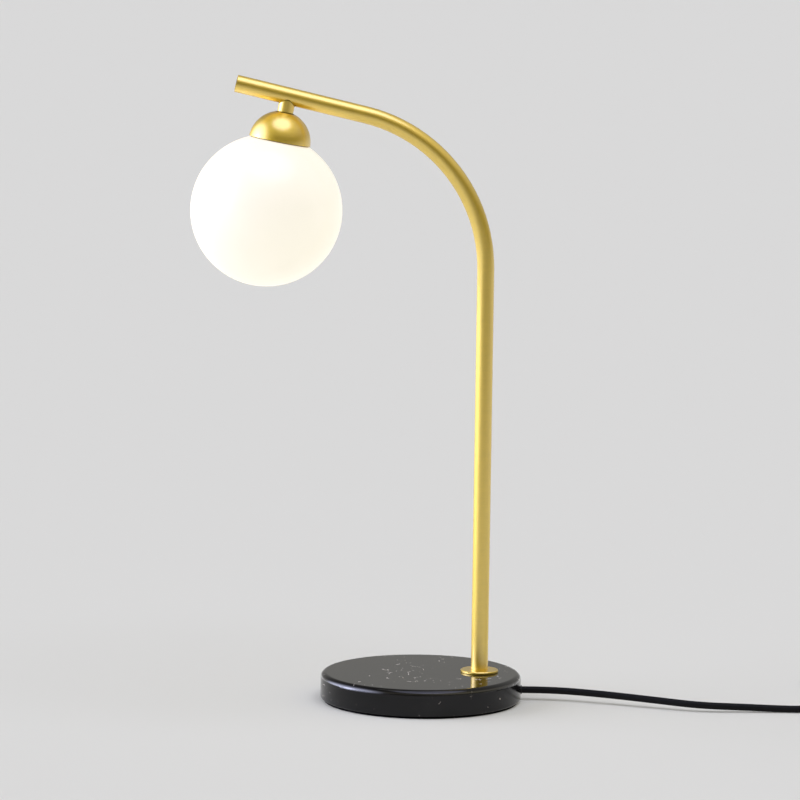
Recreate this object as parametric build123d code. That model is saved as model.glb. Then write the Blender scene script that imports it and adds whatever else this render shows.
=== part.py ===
from build123d import *
import math
import os

# Table lamp with an opal glass globe. Millimetres, +Z up. The origin is the centre of the base's
# underside, the stem stands at +X and the arm reaches towards -X.

# ---------------------------------------------------------------- base
BASE_R = 80.0  # polished stone disc
BASE_H = 22.7  # table to the top of the disc
PAD_T = 1.7  # soft pad glued beneath the stone
PAD_INSET = 2.5  # pad's edge behind the stone's edge
TOP_ROUND = 4.5  # rounding of the upper edge
LOW_ROUND = 1.8  # rounding of the lower edge
RECESS_R = 20.0  # pocket beneath the stem for nut and wires
ROOF_T = 8.0  # stone left above the pocket
HOLE_GAP = 0.3  # play of the threaded tube in the stone

# ---------------------------------------------------------------- stem and arm
STEM_EDGE = 33.0  # stem's axis from the stone's edge
TUBE_R = 6.85
TUBE_WALL = 1.0
BEND_Z = 345.0  # height where the bend starts
BEND_R = 125.0  # to the tube's centre line
ARM_RISE = 13.1  # degrees above level
ARM_L = 104.5  # straight arm, from the bend to the tip
CAP_SET_BACK = 0.6  # end plug behind the tube's end
CAP_L = 8.0
CAP_BEVEL = 0.4
CAP_FACE_T = 1.6
CAP_WALL = 1.2
TUBE_PLAY = 0.03  # radial play of what is pushed into or over the tube
FLANGE_R = 15.0
FLANGE_T = 2.0
FLANGE_BEVEL = 0.5
INSERT_L = 14.0  # threaded plug in the tube's foot

# ---------------------------------------------------------------- threads, nuts and washers
THREAD_R = 5.0  # M10 x 1 hollow threaded tube
THREAD_BORE = 3.5
THREAD_PLAY = 0.04
NUT_ACROSS = 14.0
NUT_T = 3.5
WASHER_R = 14.0
WASHER_T = 1.5
LOCK_R = 9.0
LOCK_T = 0.8
LOCK_TEETH = 10
LOCK_NOTCH_L = 2.4
LOCK_NOTCH_W = 1.6
NUT_PROUD = 0.6  # end of the threaded tube below its nut

# ---------------------------------------------------------------- head, measured down its own axis
HEAD_BACK = 42.0  # from the arm's tip to the head's axis
HEAD_TILT = 10.4  # degrees, the head's axis from the vertical
NECK_R = 6.35  # turned connector under the tube
DOME_R = 24.4
DOME_TOP = 12.2  # from the arm's axis to the top of the dome's sphere
DOME_H = 23.5
DOME_WALL = 1.0
DOME_SEAT_R = 6.7  # flat at the top of the dome
GALLERY_Z = 23.2  # plate that carries the globe's thread
GALLERY_WALL = 0.8
GALLERY_L = 10.2
GALLERY_BEVEL = 1.2
VENTS = 4  # round holes in the gallery's plate
VENT_AT = 12.5
VENT_R = 2.0
SPACER_R = 6.2
NECK_BORE_Z = 8.0  # where the thread in the connector starts

# ---------------------------------------------------------------- globe
GLOBE_R = 59.7
GLOBE_Z = 91.3  # arm's axis to the globe's centre
GLASS_T = 2.6
GLOBE_NECK_R = 18.0
GLOBE_NECK_Z = 27.0
GLOBE_NECK_ROUND = 2.0
THREAD_GAP = 0.35  # neck in its gallery
GASKET_T = 2.4
GASKET_GAP = 0.25

# ---------------------------------------------------------------- lampholder and bulb
HOLDER_CAP_Z = 28.8
HOLDER_CAP_R = 9.6
HOLDER_CAP_T = 3.0
HOLDER_R = 10.5
HOLDER_L = 22.0
HOLDER_FLAT = 8.6  # half width across the holder's flats
HOLDER_BEVEL = 0.8
WIRE_POCKET_R = 4.2  # hollow for the wires in the ceramic
WIRE_POCKET_L = 3.0
PIN_APART = 9.0  # between the bulb's two pins
PIN_W = 3.4
PIN_T = 0.9
PIN_L = 14.0
PIN_WIRE = 0.9  # the loop's own width
PIN_ROUND = 0.85
PIN_IN_BASE = 4.0
SLOT_DEEPER = 2.0  # slot beyond the pin's end
SLOT_PLAY = 0.9
HOLDER_SCREW_AT = 7.2
HOLDER_SCREW_R = 1.4
HOLDER_SCREW_IN = 7.0  # length in the ceramic
HOLDER_HEAD_R = 1.9
HOLDER_HEAD_T = 1.1
SCREW_PLAY = 0.1  # shank in a clearance hole
SCREW_FIT = 0.05  # shank in its thread
SCREW_END_GAP = 0.5  # hole beyond the screw's end
SCREW_SLOT_W = 0.6
SCREW_SLOT_T = 0.5
BULB_GAP = 0.3
BULB_BASE_R = 8.0
BULB_BASE_L = 9.0
BULB_R = 8.0
BULB_L = 36.0  # base and cover together
BULB_WALL = 0.8
BULB_BEVEL = 1.2
POST_W = 6.6  # square post that carries the light sources
POST_GAP = 6.0  # from its top to the cover's

# ---------------------------------------------------------------- mains cord
CORD_R = 2.8
CORD_SIDES = 10  # facets round the cord
CORD_PLAY = 0.05
CORD_Z = 8.1  # height of the cord where it leaves the base
CORD_IN_L = 16.0  # length of cord inside the stone's edge
BUSH_R = 4.2
BUSH_LIP_R = 6.0
BUSH_L = 20.2
BUSH_LIP_GAP = 0.2
BUSH_OUT = 1.2  # how far the bushing shows outside the stone
BUSH_TAPER_IN = 2.0  # where its taper starts, inside the stone's edge
BUSH_NOSE_T = 0.7
CORE_R = 1.15  # one insulated wire
CORE_APART = 1.4  # wire's axis from the middle
CORE_LOW = 3.7  # height of the wires below the nut
CORE_SIDES = 6
CORE_DIP_AT = 5.0  # from the cord's end to where the wires dip
CORE_DIP_L = 4.0
CORE_DIP_R = 2.5
CORE_TURN_R = 4.0  # wires' bends below the stem and above the head
CORE_END = 1.5  # inside the lampholder

# ---------------------------------------------------------------- switch on the cord, own frame
SWITCH_AT = (362.0, -52.0)
SWITCH_TURN = 8.0
SWITCH_L = 60.0
SWITCH_W = 24.0
SWITCH_END_W = 14.0
SWITCH_H = 16.6
SPLIT_Z = 7.6  # joint between the shells, and the cord's axis
SHELL_CORNER = 3.0
SHELL_ROUND = 2.2
SOCKET_L = 5.0  # how deep the cord goes into the shells
PIVOT_Z = 11.4
ROCKER_R = 10.0
ROCKER_W = 9.4
ROCKER_GAP = 0.4
ROCKER_DIP = 3.6  # above the pivot, in the middle
ROCKER_EDGE = 35.0  # degrees, the rocker's upper corners seen from the pivot
ROCKER_FOOT = 3.2  # below the pivot
ROCKER_TIP = 8.0  # degrees from the middle, each way
TRUNNION_R = 1.2
TRUNNION_L = 1.4
TRUNNION_PLAY = 0.05
TRUNNION_END_GAP = 0.3
SHELL_FLOOR = 1.6
SWITCH_SCREW_AT = (20.0, 0.0)
SWITCH_SCREW_R = 1.3
SWITCH_SCREW_HEAD_R = 2.6
SWITCH_SCREW_HEAD_T = 1.6
SWITCH_SCREW_SINK = 2.4  # from the underside to the head's seat
SWITCH_SCREW_IN = 5.0  # length in the upper shell
HEAD_PLAY = 0.2
SWITCH_SLOT_W = 0.7
SWITCH_SLOT_T = 0.6
WELL_L = 30.0  # hollow of the lower shell
WELL_W = 11.0
CONTACT_L = 11.0
CONTACT_W = 3.2
CONTACT_T = 0.8
CONTACT_TAB_L = 2.0
CONTACT_TAB_H = 2.6
CONTACT_AT = (8.5, 3.0)

# ---------------------------------------------------------------- plug, own frame
PLUG_AT = (395.5, 48.6)
PLUG_TURN = 172.0
PLUG_T = 13.7
PLUG_FACE_W = 35.3
PLUG_NECK_W = 13.0
PLUG_L = 36.0
PLUG_BEVEL = 1.62
PLUG_STRAIGHT = 8.0  # parallel sides behind the face
PLUG_WAIST = 1.6  # how far the sides draw in
RELIEF_L = 22.0
RELIEF_R = 5.2
RELIEF_END_R = 3.7
RELIEF_RIBS = 5
RELIEF_CUT = 0.6  # depth of the grooves between the ribs
RELIEF_SWELL = 0.3
RIB_SHARE = 0.6  # part of the pitch that a rib takes
PLUG_PIN_R = 2.0
PLUG_PIN_L = 19.0
PLUG_PIN_APART = 18.6
PLUG_PIN_IN = 8.0  # length inside the body
PLUG_PIN_BEVEL = 1.0
SLEEVE_L = 10.0
SLEEVE_T = 0.4
SLEEVE_STEP = 0.1  # sleeve below the pin's own surface

# ---------------------------------------------------------------- put-away coil
COIL_START = (449.0, -44.5)
COIL_TURN_R = 38.1  # first half turn
COIL_PITCH = 6.1  # cord to cord, sideways and upwards
COIL_HALVES = 7  # half turns in a layer
TIE_T = 0.8
TIE_W = 3.4
TIE_GAP = 0.15
TWIST_L = 14.0  # the tie's twisted ends
TWIST_T = 1.8
TWIST_ROUND = 0.6
TWIST_SHIFT = 6.0

UPWARD = (Align.CENTER, Align.CENTER, Align.MIN)


# ---------------------------------------------------------------- helpers
def disc(radius, low, high):
    return Pos(0, 0, low) * Cylinder(radius, high - low, align=UPWARD)


def ring(outer, inner, low, high):
    return disc(outer, low, high) - disc(inner, low, high)


def block(size_x, size_y, low, high):
    return Pos(0, 0, low) * Box(size_x, size_y, high - low, align=UPWARD)


def along_x(radius, start, end):
    """Cylinder on the X axis."""
    turned = Rot(0, 90, 0) * Cylinder(radius, end - start, align=UPWARD)
    return Pos(start, 0, 0) * turned


def revolved(corners):
    """Solid turned about Z from (radius, height) corners."""
    outline = Polyline(*[(r, z) for r, z in corners], close=True)
    return revolve(Plane.XZ * make_face(outline), Axis.Z)


def hex_nut(low, high):
    outline = RegularPolygon(NUT_ACROSS / 2, 6, major_radius=False)
    body = extrude(Pos(0, 0, low) * outline, high - low)
    return body - disc(THREAD_R + THREAD_PLAY, low, high)


def pipe(path, section):
    """Solid of one section swept along a path, from the path's own start."""
    start = Plane(origin=path @ 0, z_dir=path % 0)
    return sweep(start * section, path=path)


def volume_ratio(solid, section, path):
    """The swept solid's volume against its section times its length."""
    return solid.volume / (section.area * path.length)


def turn_between(a, b, c):
    before = Vector(*b) - Vector(*a)
    after = Vector(*c) - Vector(*b)
    return before.get_angle(after)


def bend_radii(points):
    """As large an arc at each corner as the two runs beside it allow."""
    found = []
    for a, b, c in zip(points, points[1:], points[2:]):
        shorter = min((Vector(*b) - Vector(*a)).length, (Vector(*c) - Vector(*b)).length)
        half = math.radians(turn_between(a, b, c)) / 2
        found.append(0.45 * shorter / math.tan(half))
    return found


def cord_stretch(name, points):
    """A free stretch of the cord, with its radii and its volume printed."""
    radii = bend_radii(points)
    path = FilletPolyline(*points, radius=radii)
    solid = pipe(path, CORD_SECTION)
    ratio = volume_ratio(solid, CORD_SECTION, path)
    smallest = min(radii)
    print(f"{name}: {path.length:.1f} mm, least radius {smallest:.0f}, volume ratio {ratio:.4f}")
    return solid, path.length


# ---------------------------------------------------------------- places that several pieces share
STEM_X = BASE_R - STEM_EDGE
CORD_IN = BASE_R - CORD_IN_L
RISE = math.radians(ARM_RISE)
ARM_DIR = Vector(-math.cos(RISE), 0, math.sin(RISE))
BEND_SWEEP = math.radians(90 - ARM_RISE)
CORNER = Vector(STEM_X, 0, BEND_Z + BEND_R * math.tan(BEND_SWEEP / 2))
ARM_TIP = CORNER + ARM_DIR * (BEND_R * math.tan(BEND_SWEEP / 2) + ARM_L)
HEAD_AT = ARM_TIP - ARM_DIR * HEAD_BACK
HEAD = Location(tuple(HEAD_AT), (0, 180 + HEAD_TILT, 0))
STEM = Pos(STEM_X, 0, 0)
SWITCH = Location((*SWITCH_AT, 0), (0, 0, SWITCH_TURN))
PLUG = Location((*PLUG_AT, PLUG_T / 2), (0, 0, PLUG_TURN))

TUBE_BORE = TUBE_R - TUBE_WALL
RECESS_TOP = BASE_H - ROOF_T
WASHER_LOW = RECESS_TOP - WASHER_T
LOCK_LOW = WASHER_LOW - LOCK_T
FOOT_NUT_LOW = LOCK_LOW - NUT_T
FOOT_END = FOOT_NUT_LOW - NUT_PROUD
DOME_FLAT = DOME_TOP + DOME_R - math.sqrt(DOME_R**2 - DOME_SEAT_R**2)
DOME_UNDER = DOME_FLAT + DOME_WALL
HOLDER_Z = HOLDER_CAP_Z + HOLDER_CAP_T
BULB_Z = HOLDER_Z + HOLDER_L + BULB_GAP
COIL_Z = CORD_R + TIE_T + TIE_GAP
CORD_SECTION = RegularPolygon(CORD_R, CORD_SIDES)


def on_head(distance):
    """A point on the head's axis."""
    tilt = math.radians(HEAD_TILT)
    return HEAD_AT + Vector(-math.sin(tilt), 0, -math.cos(tilt)) * distance


def on_switch(x):
    """A point on the cord's axis through the switch."""
    turn = math.radians(SWITCH_TURN)
    return (SWITCH_AT[0] + x * math.cos(turn), SWITCH_AT[1] + x * math.sin(turn), SPLIT_Z)


# ---------------------------------------------------------------- base
def marble_base():
    stone = disc(BASE_R, PAD_T, BASE_H)
    stone = fillet(stone.edges().sort_by(Axis.Z)[-1], TOP_ROUND)
    stone = fillet(stone.edges().sort_by(Axis.Z)[0], LOW_ROUND)
    stone -= STEM * disc(RECESS_R, PAD_T, RECESS_TOP)
    stone -= STEM * disc(THREAD_R + HOLE_GAP, PAD_T, BASE_H)
    stone -= Pos(0, 0, CORD_Z) * along_x(BUSH_R, STEM_X, BASE_R + 1)
    return stone


def base_pad():
    return disc(BASE_R - PAD_INSET, 0, PAD_T)


def stem_flange():
    plate = disc(FLANGE_R, BASE_H, BASE_H + FLANGE_T)
    plate = chamfer(plate.edges().sort_by(Axis.Z)[-1], FLANGE_BEVEL)
    return STEM * (plate - disc(TUBE_R + TUBE_PLAY, BASE_H, BASE_H + FLANGE_T))


def foot_insert():
    radius = TUBE_BORE - TUBE_PLAY
    return STEM * ring(radius, THREAD_R + THREAD_PLAY, BASE_H, BASE_H + INSERT_L)


def foot_nipple():
    return STEM * ring(THREAD_R, THREAD_BORE, FOOT_END, BASE_H + INSERT_L)


def foot_washer():
    return STEM * ring(WASHER_R, THREAD_R + HOLE_GAP, WASHER_LOW, RECESS_TOP)


def foot_lock_washer():
    """Toothed ring under the nut."""
    body = ring(LOCK_R, THREAD_R + HOLE_GAP, LOCK_LOW, WASHER_LOW)
    notch = Pos(LOCK_R, 0, 0) * block(LOCK_NOTCH_L, LOCK_NOTCH_W, LOCK_LOW, WASHER_LOW)
    for k in range(LOCK_TEETH):
        body -= Rot(0, 0, 360 * k / LOCK_TEETH) * notch
    return STEM * body


def foot_nut():
    return STEM * hex_nut(FOOT_NUT_LOW, LOCK_LOW)


def cord_bushing():
    """Rubber bushing, its lip behind the wall and its nose just showing outside."""
    nose = BASE_R + BUSH_OUT
    lip_end = STEM_X + math.sqrt(RECESS_R**2 - BUSH_LIP_R**2) - BUSH_LIP_GAP
    corners = [
        (CORD_R + CORD_PLAY, nose - BUSH_L),
        (BUSH_LIP_R, nose - BUSH_L),
        (BUSH_LIP_R, lip_end),
        (BUSH_R - CORD_PLAY, lip_end),
        (BUSH_R - CORD_PLAY, BASE_R - BUSH_TAPER_IN),
        (CORD_R + BUSH_NOSE_T, nose),
        (CORD_R + CORD_PLAY, nose),
    ]
    return Pos(0, 0, CORD_Z) * (Rot(0, 90, 0) * revolved(corners))


# ---------------------------------------------------------------- stem and arm
def tube_path():
    return FilletPolyline((STEM_X, 0, BASE_H), tuple(CORNER), tuple(ARM_TIP), radius=BEND_R)


def stem_tube():
    """One bent tube, with the hole for the wires under the arm."""
    path = tube_path()
    tube = pipe(path, Circle(TUBE_R) - Circle(TUBE_BORE))
    return tube - HEAD * disc(THREAD_BORE, 0, 2 * TUBE_R)


def tube_end_cap():
    """Plug pushed into the arm's end, a little behind the rim."""
    inner = Plane(origin=ARM_TIP - ARM_DIR * CAP_SET_BACK, z_dir=-ARM_DIR)
    plug = Cylinder(TUBE_BORE - TUBE_PLAY, CAP_L, align=UPWARD)
    plug = chamfer(plug.edges().sort_by(Axis.Z)[0], CAP_BEVEL)
    hollow = Pos(0, 0, CAP_FACE_T) * Cylinder(TUBE_BORE - CAP_WALL, CAP_L, align=UPWARD)
    return inner.location * (plug - hollow)


def inner_cores():
    """The two wires from the cord's end, through stem and arm, to the lampholder."""
    route = [
        (CORD_IN, 0, CORD_Z),
        (CORD_IN - CORE_DIP_AT, 0, CORD_Z),
        (CORD_IN - CORE_DIP_AT - CORE_DIP_L, 0, CORE_LOW),
        (STEM_X, 0, CORE_LOW),
        tuple(CORNER),
        tuple(HEAD_AT),
        tuple(on_head(HOLDER_Z + CORE_END)),
    ]
    bends = [CORE_DIP_R, CORE_DIP_R, CORE_TURN_R, BEND_R, CORE_TURN_R]
    path = FilletPolyline(*route, radius=bends)
    wire = pipe(path, RegularPolygon(CORE_R, CORE_SIDES))
    return Pos(0, -CORE_APART, 0) * wire + Pos(0, CORE_APART, 0) * wire


# ---------------------------------------------------------------- head
def head_connector():
    """Turned neck, coped to the tube above and flat on the dome below."""
    barrel = disc(NECK_R, 0, DOME_FLAT) - disc(THREAD_BORE, 0, NECK_BORE_Z)
    barrel -= disc(THREAD_R + THREAD_PLAY, NECK_BORE_Z, DOME_FLAT)
    arm = Plane(origin=HEAD_AT - ARM_DIR * 20, z_dir=ARM_DIR)
    envelope = arm.location * Cylinder(TUBE_R + TUBE_PLAY, 40, align=UPWARD)
    return HEAD * barrel - envelope


def head_nipple():
    return HEAD * ring(THREAD_R, THREAD_BORE, NECK_BORE_Z, HOLDER_Z)


def dome_cap():
    """Spun cap of even wall, with a flat seat at its top."""
    centre = DOME_TOP + DOME_R
    outer = (Pos(0, 0, centre) * Sphere(DOME_R)) & disc(DOME_R, DOME_FLAT, DOME_TOP + DOME_H)
    inner_r = DOME_R - DOME_WALL
    inner = (Pos(0, 0, centre) * Sphere(inner_r)) & disc(DOME_R, DOME_UNDER, centre)
    return HEAD * (outer - inner - disc(THREAD_R + THREAD_PLAY, DOME_FLAT, DOME_UNDER))


def gallery_spacer():
    return HEAD * ring(SPACER_R, THREAD_R + THREAD_PLAY, DOME_UNDER, GALLERY_Z)


def gallery_cup():
    """Pressed cup whose skirt takes the thread of the globe's neck."""
    inner_r = GLOBE_NECK_R + THREAD_GAP
    outer_r = inner_r + GALLERY_WALL
    cup = disc(outer_r, GALLERY_Z, GALLERY_Z + GALLERY_L)
    cup = chamfer(cup.edges().sort_by(Axis.Z)[0], GALLERY_BEVEL)
    cup -= disc(inner_r, GALLERY_Z + GALLERY_WALL, GALLERY_Z + GALLERY_L)
    vent = Pos(VENT_AT, 0, 0) * disc(VENT_R, GALLERY_Z, GALLERY_Z + GALLERY_WALL)
    for k in range(VENTS):
        cup -= Rot(0, 0, 360 * (k + 0.5) / VENTS) * vent
    return HEAD * (cup - disc(THREAD_R + THREAD_PLAY, GALLERY_Z, GALLERY_Z + GALLERY_WALL))


def gallery_nut():
    low = GALLERY_Z + GALLERY_WALL
    return HEAD * hex_nut(low, low + NUT_T)


def holder_screw_spots():
    return [Pos(0, side * HOLDER_SCREW_AT, 0) for side in (-1, 1)]


def lampholder_cap():
    """Threaded steel disc that carries the lampholder."""
    plate = ring(HOLDER_CAP_R, THREAD_R + THREAD_PLAY, HOLDER_CAP_Z, HOLDER_Z)
    for spot in holder_screw_spots():
        plate -= spot * disc(HOLDER_SCREW_R + SCREW_PLAY, HOLDER_CAP_Z, HOLDER_Z)
    return HEAD * plate


def lampholder_screws():
    """Two round-headed screws down through the disc into the ceramic."""
    low = HOLDER_CAP_Z - HOLDER_HEAD_T
    shank = disc(HOLDER_SCREW_R, HOLDER_CAP_Z, HOLDER_Z + HOLDER_SCREW_IN)
    slot = block(2 * HOLDER_HEAD_R + 1, SCREW_SLOT_W, low - 1, low + SCREW_SLOT_T)
    pair = None
    for spot in holder_screw_spots():
        screw = disc(HOLDER_HEAD_R, low, HOLDER_CAP_Z) + shank - slot
        pair = spot * screw if pair is None else pair + spot * screw
    return HEAD * pair


def lampholder_body():
    """Ceramic body with two flats, two pin slots, a wire pocket and its screw holes."""
    low, high = HOLDER_Z, HOLDER_Z + HOLDER_L
    body = disc(HOLDER_R, low, high) & block(2 * HOLDER_R, 2 * HOLDER_FLAT, low, high)
    body = chamfer(body.edges().group_by(Axis.Z)[-1], HOLDER_BEVEL)
    body -= disc(WIRE_POCKET_R, low, low + WIRE_POCKET_L)
    slot = block(PIN_T + SLOT_PLAY, PIN_W + SLOT_PLAY, high - PIN_L - SLOT_DEEPER, high)
    for side in (-1, 1):
        body -= Pos(side * PIN_APART / 2, 0, 0) * slot
    hole = disc(HOLDER_SCREW_R + SCREW_FIT, low, low + HOLDER_SCREW_IN + SCREW_END_GAP)
    for spot in holder_screw_spots():
        body -= spot * hole
    return HEAD * body


def bulb_base():
    low = BULB_Z
    base = disc(BULB_BASE_R, low, low + BULB_BASE_L)
    base = chamfer(base.edges().sort_by(Axis.Z)[0], BULB_BEVEL)
    pins = block(PIN_T, PIN_W, low, low + PIN_IN_BASE)
    for side in (-1, 1):
        base -= Pos(side * PIN_APART / 2, 0, 0) * pins
    return HEAD * base


def bulb_pins():
    """Two flat wire loops, rounded at their ends."""
    low, high = BULB_Z - PIN_L, BULB_Z + PIN_IN_BASE
    length = high - low
    outline = Rectangle(PIN_W, length) - Rectangle(PIN_W - 2 * PIN_WIRE, length - 2 * PIN_WIRE)
    outline = fillet(outline.vertices().group_by(Axis.Y)[0], PIN_ROUND)
    loop = extrude(Plane.YZ * outline, PIN_T / 2, both=True)
    pair = [Pos(side * PIN_APART / 2, 0, (low + high) / 2) * loop for side in (-1, 1)]
    return HEAD * (pair[0] + pair[1])


def bulb_cover():
    """Frosted cap over the light sources, open towards the base."""
    low, high = BULB_Z + BULB_BASE_L, BULB_Z + BULB_L
    outer = disc(BULB_R, low, high - BULB_R) + Pos(0, 0, high - BULB_R) * Sphere(BULB_R)
    inner_r = BULB_R - BULB_WALL
    inner = disc(inner_r, low, high - BULB_R) + Pos(0, 0, high - BULB_R) * Sphere(inner_r)
    return HEAD * (outer & disc(BULB_R, low, high)) - HEAD * (inner & disc(BULB_R, low, high))


def bulb_post():
    """Square post that carries the light sources."""
    low, high = BULB_Z + BULB_BASE_L, BULB_Z + BULB_L - POST_GAP
    return HEAD * block(POST_W, POST_W, low, high)


# ---------------------------------------------------------------- globe
def neck_and_ball(ball_r, neck_r):
    """Half outline of a ball with a round neck, filleted where they meet."""
    ball = Pos(0, GLOBE_Z) * Circle(ball_r)
    neck = Rectangle(2 * neck_r, GLOBE_Z - GLOBE_NECK_Z, align=(Align.CENTER, Align.MIN))
    both = ball + Pos(0, GLOBE_NECK_Z) * neck
    meet = GLOBE_Z - math.sqrt(ball_r**2 - neck_r**2)
    corners = [v for v in both.vertices() if abs(v.Y - meet) < 0.01]
    return fillet(corners, GLOBE_NECK_ROUND)


def globe_glass():
    """Blown opal ball of even wall, open at its neck."""
    outer = neck_and_ball(GLOBE_R, GLOBE_NECK_R)
    inner = neck_and_ball(GLOBE_R - GLASS_T, GLOBE_NECK_R - GLASS_T)
    tall = 2 * GLOBE_Z
    half = Rectangle(2 * GLOBE_R, 2 * tall, align=(Align.MIN, Align.CENTER))
    return HEAD * revolve(Plane.XZ * ((outer - inner) & half), Axis.Z)


def globe_gasket():
    high = GLOBE_NECK_Z - GASKET_GAP
    return HEAD * ring(GLOBE_NECK_R, GLOBE_NECK_R - GLASS_T, high - GASKET_T, high)


# ---------------------------------------------------------------- cord
RUN_ROUTE = [
    (CORD_IN, 0, CORD_Z),
    (101, 0, CORD_Z),
    (142, -17.5, 7.8),
    (182, -37.5, 6.7),
    (217, -54, 5.3),
    (254, -54.5, 3.9),
    (281, -56.5, 2.9),
    (301, -58.5, 2.8),
    on_switch(-43),
    on_switch(SOCKET_L - SWITCH_L / 2),
]
LINK_ROUTE = [
    on_switch(SWITCH_L / 2 - SOCKET_L),
    on_switch(43),
    (427, COIL_START[1], COIL_Z),
    (*COIL_START, COIL_Z),
]


def coil_arcs():
    """Half turns of the coil: inwards on the table, one climbing, and outwards on top."""
    inward = [COIL_TURN_R - k * COIL_PITCH / 2 for k in range(COIL_HALVES)]
    radii = inward + [inward[-1] - COIL_PITCH / 2] + inward[::-1]
    x = COIL_START[0] + 2 * CORD_R
    y = COIL_START[1]
    z = COIL_Z
    arcs = []
    for k, radius in enumerate(radii):
        side = 1 if k % 2 == 0 else -1
        climb = COIL_PITCH if k == COIL_HALVES else 0
        begin = Vector(x, y, z)
        end = Vector(x, y + side * 2 * radius, z + climb)
        reach = (end - begin).length / 2
        middle = (begin + end) * 0.5 + Vector(side * reach, 0, 0)
        arcs.append((begin, middle, end))
        y, z = end.Y, end.Z
    return arcs


def least_coil_gap(arcs):
    """Smallest free space between two turns, measured on points along the centre line."""
    spots = []
    travelled = 0.0
    for begin, middle, end in arcs:
        centre = (begin + end) * 0.5
        reach = (middle - centre).length
        for k in range(36):
            angle = math.pi * k / 36
            spot = centre + (begin - centre) * math.cos(angle) + (middle - centre) * math.sin(angle)
            spots.append((travelled + reach * angle, spot))
        travelled += math.pi * reach
    least = COIL_TURN_R
    for i, (at_i, a) in enumerate(spots):
        for at_j, b in spots[i + 1 :]:
            if at_j - at_i > 4 * CORD_R:
                least = min(least, (a - b).length)
    return least - 2 * CORD_R


def cord_coil():
    """The stored length, wound in two layers as one unbroken tube."""
    arcs = coil_arcs()
    first, last = arcs[0][0], arcs[-1][2]
    edges = [Line(first - Vector(2 * CORD_R, 0, 0), first)]
    edges += [ThreePointArc(begin, middle, end) for begin, middle, end in arcs]
    edges.append(Line(last, last - Vector(2 * CORD_R, 0, 0)))
    path = Wire(edges)
    solid = pipe(path, CORD_SECTION)
    ratio = volume_ratio(solid, CORD_SECTION, path)
    gap = least_coil_gap(arcs)
    print(f"coil: {path.length:.1f} mm, least gap {gap:.2f}, volume ratio {ratio:.4f}")
    return solid, path.length


def tail_route():
    last = coil_arcs()[-1][2]
    turn = math.radians(PLUG_TURN)
    ahead = Vector(math.cos(turn), math.sin(turn), 0)
    entry = Vector(*PLUG_AT, PLUG_T / 2)
    return [
        (last.X - 2 * CORD_R, last.Y, last.Z),
        (last.X - 22, last.Y, last.Z),
        tuple(entry - ahead * 14),
        tuple(entry + ahead * SOCKET_L),
    ]


def coil_tie():
    """Flat wire tie round the bundle of turns, with its twisted ends on top."""
    arcs = coil_arcs()
    inner_turn_r = COIL_TURN_R - (COIL_HALVES - 1) * COIL_PITCH / 2
    shift = COIL_PITCH / 2
    inner_reach = math.sqrt(inner_turn_r**2 - (shift + TIE_W / 2) ** 2)
    outer_x = arcs[0][0].X + COIL_TURN_R + CORD_R + TIE_GAP
    inner_x = arcs[0][0].X + inner_reach - CORD_R - TIE_GAP
    centre_y = arcs[0][0].Y + COIL_TURN_R + shift
    low = COIL_Z - CORD_R - TIE_GAP
    high = COIL_Z + COIL_PITCH + CORD_R + TIE_GAP
    spread = outer_x - inner_x
    hole = Rectangle(spread, high - low)
    hole = fillet(hole.vertices(), CORD_R)
    band = offset(hole, TIE_T, kind=Kind.ARC) - hole
    loop = extrude(Plane.XZ * band, TIE_W / 2, both=True)
    loop = Pos((outer_x + inner_x) / 2, centre_y, (low + high) / 2) * loop
    twist = fillet(Box(TWIST_L, TWIST_T, TWIST_T).edges().filter_by(Axis.X), TWIST_ROUND)
    twist_x = (outer_x + inner_x) / 2 - TWIST_SHIFT
    return loop + Pos(twist_x, centre_y, high + TIE_T + TWIST_T / 2) * twist


# ---------------------------------------------------------------- switch
def shell_outline():
    half_l, half_w, half_end = SWITCH_L / 2, SWITCH_W / 2, SWITCH_END_W / 2
    upper = ThreePointArc((half_l, half_end), (0, half_w), (-half_l, half_end))
    left = Line((-half_l, half_end), (-half_l, -half_end))
    lower = ThreePointArc((-half_l, -half_end), (0, -half_w), (half_l, -half_end))
    right = Line((half_l, -half_end), (half_l, half_end))
    outline = make_face([*upper.edges(), *left.edges(), *lower.edges(), *right.edges()])
    return fillet(outline.vertices(), SHELL_CORNER)


def cord_sockets():
    """The two round ways for the cord into the ends of the shells."""
    hole = Pos(0, 0, SPLIT_Z) * along_x(CORD_R + CORD_PLAY, SWITCH_L / 2 - SOCKET_L, SWITCH_L / 2)
    return hole + Rot(0, 0, 180) * hole


def screw_spots():
    x, y = SWITCH_SCREW_AT
    return [Pos(x, y, 0), Pos(-x, -y, 0)]


def switch_lower():
    shell = extrude(shell_outline(), SPLIT_Z)
    shell = fillet(shell.edges().group_by(Axis.Z)[0], SHELL_ROUND)
    shell -= block(WELL_L, WELL_W, SHELL_FLOOR, SPLIT_Z)
    for spot in screw_spots():
        shell -= spot * disc(SWITCH_SCREW_R + SCREW_PLAY, 0, SPLIT_Z)
        shell -= spot * disc(SWITCH_SCREW_HEAD_R + HEAD_PLAY, 0, SWITCH_SCREW_SINK)
    return SWITCH * (shell - cord_sockets())


def rocker_window():
    half = ROCKER_R + ROCKER_GAP
    return block(2 * half, ROCKER_W + 2 * ROCKER_GAP, SPLIT_Z, SWITCH_H)


def trunnions(radius, extra):
    """The rocker's two side pins, or the holes for them."""
    reach = ROCKER_W / 2 + TRUNNION_L + extra
    return Pos(0, 0, PIVOT_Z) * (Rot(90, 0, 0) * Cylinder(radius, 2 * reach))


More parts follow.
